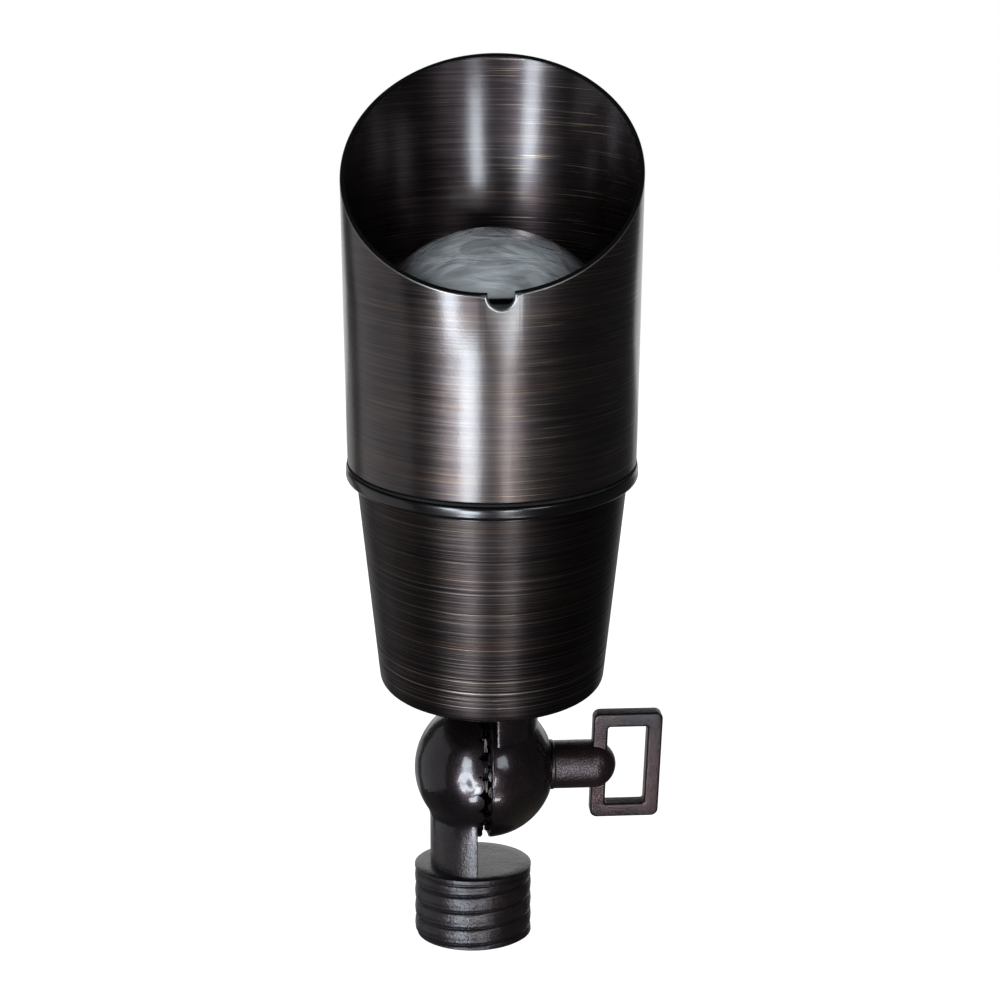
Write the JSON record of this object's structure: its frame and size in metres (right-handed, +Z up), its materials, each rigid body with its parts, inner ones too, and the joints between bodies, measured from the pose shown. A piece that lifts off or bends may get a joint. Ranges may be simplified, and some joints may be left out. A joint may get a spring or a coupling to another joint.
{
  "type": "underwater pond light",
  "caption": "Bullet-shaped underwater pond light with an angle-cut shroud and domed lens, on a toothed swivel knuckle with a thumb screw over a threaded stub.",
  "frame": {"origin": "centre of the lower end face of the threaded stub", "axes": "+Z up the threaded stub, +X along the knuckle pivot towards the thumb screw, -Y to the side the head leans to and the shroud opens to"},
  "size_m": [0.0573, 0.058, 0.1582],
  "materials": {
    "cast_bronze": "satin antique brown-black",
    "brushed_bronze": "brushed antique bronze",
    "stainless_steel": "plain",
    "black_rubber": "matt",
    "clear_glass": "clear, slightly hazy",
    "cast_alloy": "satin",
    "polished_reflector": "polished",
    "white_board": "matt",
    "white_ceramic": "matt",
    "black_insulation": "satin",
    "white_insulation": "satin"
  },
  "bodies": {
    "base": {"lower_knuckle": "cast_bronze", "cable_grommet": "black_rubber"},
    "clamp_washers": {"thrust_washer": "stainless_steel", "thrust_gasket": "black_rubber"},
    "thumb_screw": {"thumb_screw": "cast_bronze", "clamp_stud": "stainless_steel"},
    "head": {"upper_knuckle": "cast_bronze", "housing": "brushed_bronze", "bead_gasket": "black_rubber", "stem_gasket": "black_rubber", "stem_nut": "stainless_steel", "stub_grommet": "black_rubber", "socket_plate": "stainless_steel", "plate_screw_1": "stainless_steel", "plate_screw_2": "stainless_steel", "lamp_socket": "white_ceramic", "lead_black": "black_insulation", "lead_white": "white_insulation", "lamp_body": "cast_alloy", "lamp_board": "white_board", "lamp_reflector": "polished_reflector", "lamp_glass": "clear_glass", "lamp_pin_1": "stainless_steel", "lamp_pin_2": "stainless_steel", "lens_gasket_lower": "black_rubber"},
    "seal_rings": {"spigot_ring_high": "black_rubber", "spigot_ring_low": "black_rubber"},
    "shroud": {"shroud": "brushed_bronze", "lens": "clear_glass", "lens_ring": "brushed_bronze", "lens_gasket_upper": "black_rubber"}
  },
  "joints": [
    {"name": "clamp_travel", "type": "slide", "parent": "base", "child": "clamp_washers", "axis": [1, 0, 0], "range_m": [-0.001, 0.002]},
    {"name": "clamp_turn", "type": "hinge", "parent": "clamp_washers", "child": "thumb_screw", "pos_m": [0.0022, 0, 0.03115], "axis": [1, 0, 0], "range_deg": [-361, 721]},
    {"name": "head_tilt", "type": "hinge", "parent": "clamp_washers", "child": "head", "pos_m": [0.0022, 0, 0.03115], "axis": [1, 0, 0], "range_deg": [-105, 90]},
    {"name": "shroud_turn", "type": "hinge", "parent": "head", "child": "seal_rings", "pos_m": [0.00243, -0.01411, 0.10176], "axis": [-0.0148, -0.1959, 0.9805], "continuous": true},
    {"name": "shroud_pull", "type": "slide", "parent": "seal_rings", "child": "shroud", "axis": [-0.0148, -0.1959, 0.9805], "range_m": [0, 0.035]}
  ],
  "couplings": [
    {"joint": "clamp_turn", "follows": "clamp_travel", "rad_per_m": 6283.2}
  ]
}
